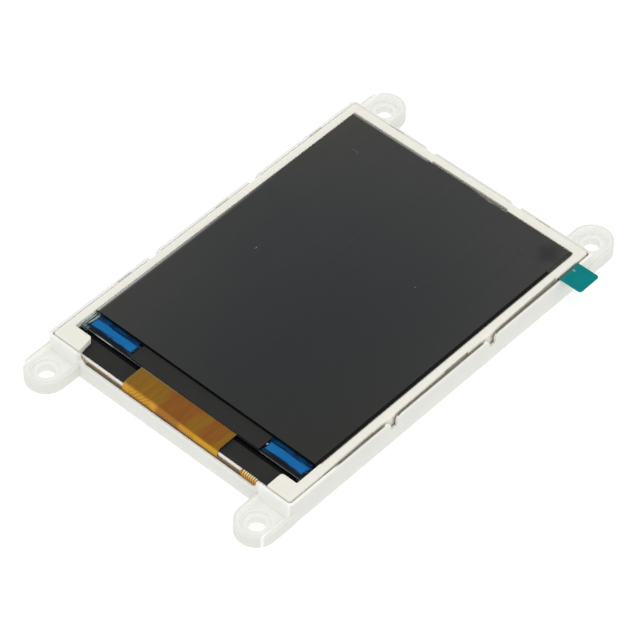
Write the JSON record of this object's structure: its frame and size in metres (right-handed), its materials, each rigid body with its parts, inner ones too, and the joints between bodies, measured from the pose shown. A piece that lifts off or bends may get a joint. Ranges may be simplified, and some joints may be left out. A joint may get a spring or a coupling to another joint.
{
  "type": "tft display module",
  "caption": "Flat colour display module: glass panel with backlight in a white moulded carrier with screw ears, folded amber flex, and a circuit board with connectors behind.",
  "frame": {"origin": "centre of the four mounting holes, on the mounting plane under the ears", "axes": "+X along the short side, towards the pull tab; +Y along the long side, away from the flex; +Z out of the display's face"},
  "size_m": [0.0618, 0.0958, 0.0058],
  "materials": {
    "white_plastic": "moulded, fine satin",
    "cream_plastic": "moulded, satin",
    "glass": "clear, cut edges",
    "polariser": "dark film, semi-gloss",
    "clear_film": "clear protective film over the dark display",
    "teal_film": "teal plastic film",
    "black_silicon": "bare silicon",
    "black_resin": "black protective resin",
    "blue_resin": "blue cured sealant",
    "black_tape": "black masking tape",
    "amber_flex": "amber polyimide",
    "gold_flex": "amber polyimide with bright copper tracks",
    "white_film": "white diffusing film",
    "clear_plastic": "clear acrylic",
    "led_white": "white light diode body",
    "phosphor": "yellow phosphor",
    "adhesive": "double-sided tape",
    "board_green": "green solder mask over glass laminate",
    "chip_epoxy": "black moulded epoxy",
    "tinned_metal": "tinned",
    "steel": "pressed steel",
    "gold_metal": "gold plated",
    "ferrite": "grey ferrite",
    "ceramic_tan": "tan ceramic",
    "yellow_epoxy": "moulded epoxy",
    "black_plastic": "moulded",
    "ivory_plastic": "moulded heat-proof plastic"
  },
  "bodies": {
    "module": {"carrier_frame": "white_plastic", "adhesive_pads": "adhesive", "backlight_frame": "cream_plastic", "reflector_film": "white_film", "light_guide": "clear_plastic", "backlight_leds": "led_white", "led_phosphors": "phosphor", "led_flex": "gold_flex", "diffuser_film": "white_film", "lower_prism_film": "clear_film", "upper_prism_film": "clear_film", "rim_tape": "black_tape", "lower_polariser": "polariser", "tft_glass": "glass", "colour_filter_glass": "glass", "upper_polariser": "polariser", "protective_film": "clear_film", "pull_tab": "teal_film", "driver_chip": "black_silicon", "ledge_sealant": "black_resin", "blue_sealant_left": "blue_resin", "blue_sealant_right": "blue_resin", "mask_tape": "black_tape", "display_flex": "amber_flex", "circuit_board": "board_green", "graphics_processor": "chip_epoxy", "processor_leads": "tinned_metal", "memory_chip": "chip_epoxy", "memory_leads": "tinned_metal", "flash_chip": "chip_epoxy", "flash_leads": "tinned_metal", "bulk_capacitors": "yellow_epoxy", "flyback_diode": "chip_epoxy", "power_chips": "chip_epoxy", "power_leads": "tinned_metal", "crystal_can": "steel", "power_inductor": "ferrite", "capacitor_bodies": "ceramic_tan", "resistor_bodies": "chip_epoxy", "passive_terminals": "tinned_metal", "card_socket_base": "black_plastic", "card_socket_shell": "steel", "card_socket_contacts": "gold_metal", "cable_housing": "ivory_plastic", "cable_contacts": "gold_metal", "cable_anchor_tabs": "tinned_metal"},
    "lock_flap": {"cable_lock_flap": "black_plastic"}
  },
  "joints": [
    {"name": "lock_flap_hinge", "type": "hinge", "parent": "module", "child": "lock_flap", "pos_m": [0, 0.03375, 0.00055], "axis": [1, 0, 0], "range_deg": [0, 90]}
  ]
}
